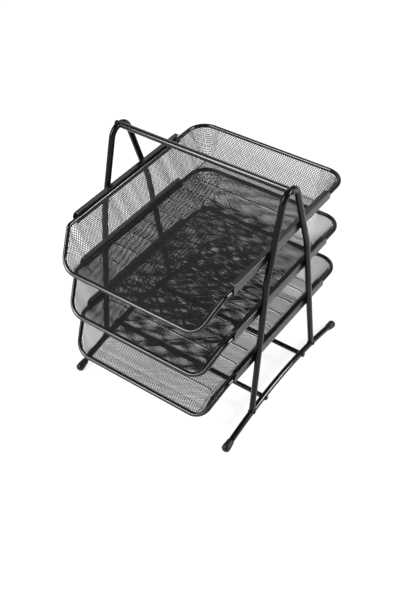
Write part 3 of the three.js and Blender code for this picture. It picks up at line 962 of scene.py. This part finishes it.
# %% [markdown]
# ## Studio
#
# The stand is shown on plain white. Black paint has no colour of its own to show, so its form comes
# from what it mirrors: a white floor lights the lower sides of the tubes, a darker ceiling keeps
# their tops black, and softboxes draw one streak along each tube. The floor is lifted to full white
# only for rays that see it straight or in a mirror, so the lamps can stay at a plain level.

# %% Floor
FLOOR_SHADE = 0.28
FLOOR_ROUGH = 0.9
FLOOR_LIFT = 0.86
FLOOR_GAP = 0.2 * MM
FLOOR_REACH = 6.0


def white_floor():
    material = bpy.data.materials.new("floor")
    material.use_nodes = True
    nodes, links = material.node_tree.nodes, material.node_tree.links
    shader = nodes["Principled BSDF"]
    shader.inputs["Base Color"].default_value = (FLOOR_SHADE, FLOOR_SHADE, FLOOR_SHADE, 1)
    shader.inputs["Roughness"].default_value = FLOOR_ROUGH
    shader.inputs["Specular IOR Level"].default_value = 0.0
    shader.inputs["Emission Color"].default_value = (1, 1, 1, 1)
    path = nodes.new("ShaderNodeLightPath")
    seen = path.outputs["Is Camera Ray"]
    for ray in ("Is Glossy Ray", "Is Transmission Ray"):
        either = nodes.new("ShaderNodeMath")
        either.operation = "MAXIMUM"
        links.new(seen, either.inputs[0])
        links.new(path.outputs[ray], either.inputs[1])
        seen = either.outputs["Value"]
    lift = nodes.new("ShaderNodeMath")
    lift.operation = "MULTIPLY"
    lift.inputs[1].default_value = FLOOR_LIFT
    links.new(seen, lift.inputs[0])
    links.new(lift.outputs["Value"], shader.inputs["Emission Strength"])
    return material


floor_mesh = bpy.data.meshes.new("floor")
floor_places = [(-FLOOR_REACH, -FLOOR_REACH, 0), (FLOOR_REACH, -FLOOR_REACH, 0),
                (FLOOR_REACH, FLOOR_REACH, 0), (-FLOOR_REACH, FLOOR_REACH, 0)]
floor_mesh.from_pydata(floor_places, [], [(0, 1, 2, 3)])
floor_mesh.materials.append(white_floor())
floor = bpy.data.objects.new("floor", floor_mesh)
floor.location.z = -FLOOR_GAP
bpy.context.scene.collection.objects.link(floor)
print("floor", FLOOR_SHADE, "lifted by", FLOOR_LIFT)

# %% Room
WALL_SHADE = 1.0
CEILING_SHADE = 0.1
WALL_PLACE = 0.05
CEILING_PLACE = 0.25

world = bpy.data.worlds.new("studio")
world.use_nodes = True
bpy.context.scene.world = world
nodes, links = world.node_tree.nodes, world.node_tree.links
coordinates = nodes.new("ShaderNodeTexCoord")
parts = nodes.new("ShaderNodeSeparateXYZ")
shades = nodes.new("ShaderNodeValToRGB")
shades.color_ramp.elements[0].position = WALL_PLACE
shades.color_ramp.elements[0].color = (WALL_SHADE, WALL_SHADE, WALL_SHADE, 1)
shades.color_ramp.elements[1].position = CEILING_PLACE
shades.color_ramp.elements[1].color = (CEILING_SHADE, CEILING_SHADE, CEILING_SHADE, 1)
links.new(coordinates.outputs["Generated"], parts.inputs["Vector"])
links.new(parts.outputs["Z"], shades.inputs["Fac"])
links.new(shades.outputs["Color"], nodes["Background"].inputs["Color"])
nodes["Background"].inputs["Strength"].default_value = 1.0
print("walls", WALL_SHADE, "ceiling", CEILING_SHADE)

# %% Lamps
LAMP_DISTANCE = 1.6
AIM_HEIGHT = 0.2


def softbox(name, towards, size, power):
    """A flat lamp that faces the middle of the stand from a direction."""
    light = bpy.data.lights.new(name, "AREA")
    light.shape = "RECTANGLE"
    light.size, light.size_y = size
    light.energy = power
    lamp = bpy.data.objects.new(name, light)
    middle = Vector((0, 0, AIM_HEIGHT))
    towards = Vector(towards).normalized()
    lamp.location = middle + towards * LAMP_DISTANCE
    lamp.rotation_euler = (-towards).to_track_quat("-Z", "Y").to_euler()
    bpy.context.scene.collection.objects.link(lamp)


softbox("front_left", (-0.40, -0.62, 0.67), size=(0.36, 1.2), power=26)
softbox("rear_right", (0.76, 0.46, 0.45), size=(0.6, 0.5), power=26)
softbox("overhead", (-0.44, 0.57, 0.69), size=(1.2, 1.0), power=4)
bpy.context.scene.view_settings.view_transform = "Standard"
